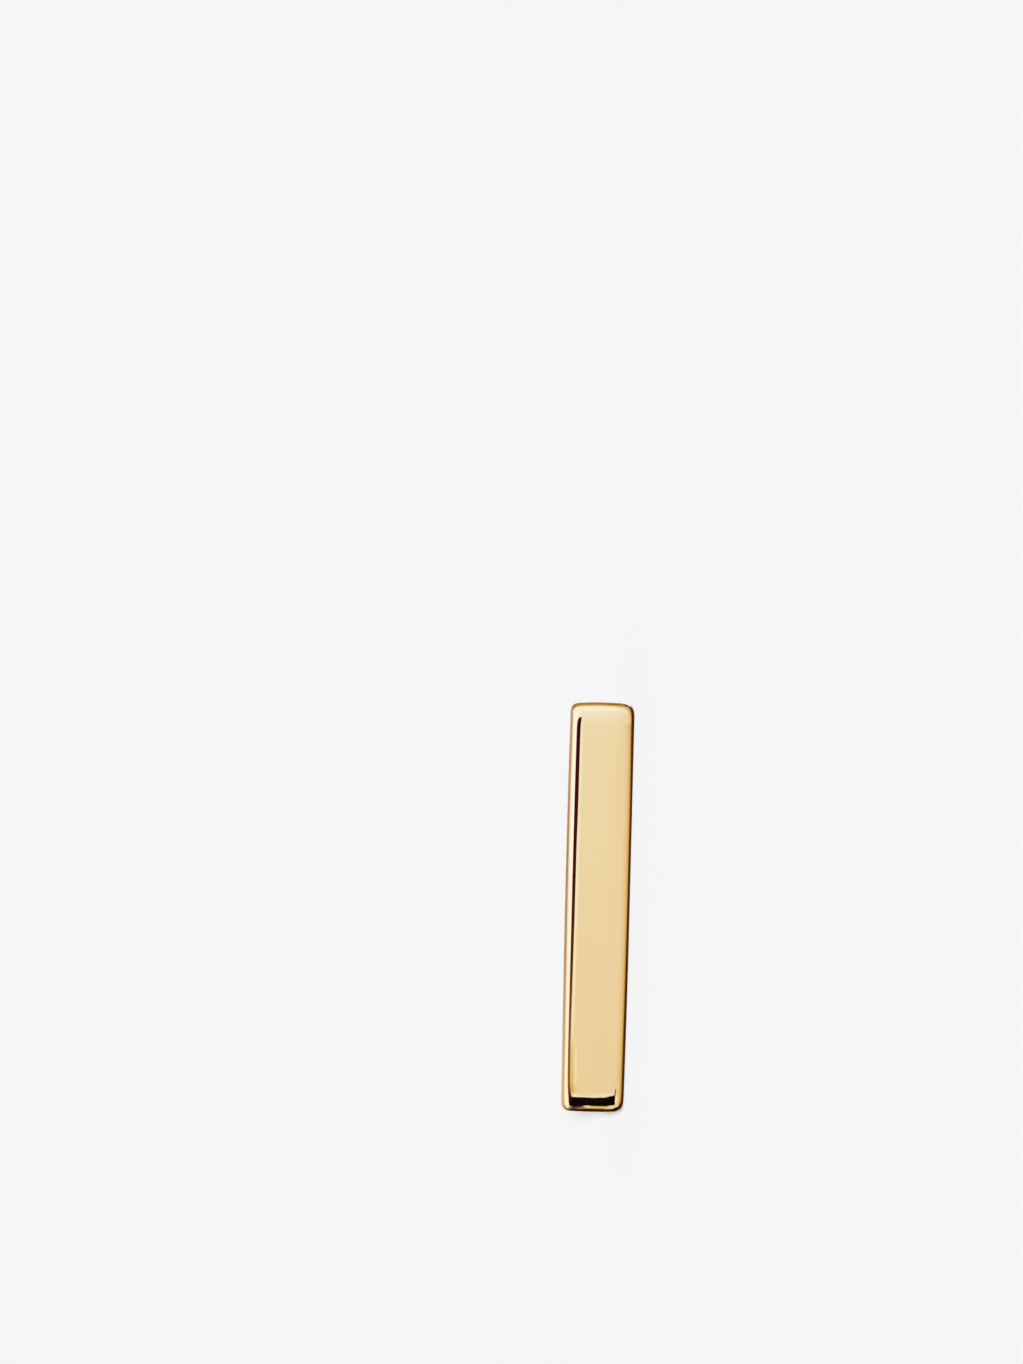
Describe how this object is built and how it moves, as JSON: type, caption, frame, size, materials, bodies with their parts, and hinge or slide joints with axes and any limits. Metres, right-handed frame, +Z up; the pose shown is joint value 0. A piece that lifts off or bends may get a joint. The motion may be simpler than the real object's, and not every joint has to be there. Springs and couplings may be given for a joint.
{
  "type": "bar earring",
  "caption": "Slim rectangular bar stud earring in polished gold, with rounded edges and a plain round post soldered to its back, laid on its long side.",
  "frame": {"origin": "centre of the laid stud's footprint, on the surface that it lies on", "axes": "+X along the bar to its top end, the one nearer the post; the bar's face looks to -Y and leans back by 4.6 degrees; the post runs back to +Y and down to the surface; +Z up from the surface"},
  "size_m": [0.015, 0.0108, 0.0023],
  "materials": {
    "polished_gold": "yellow gold, mirror polished, softly rounded at the edges"
  },
  "bodies": {
    "root": {"bar_stud": "polished_gold"}
  },
  "joints": []
}
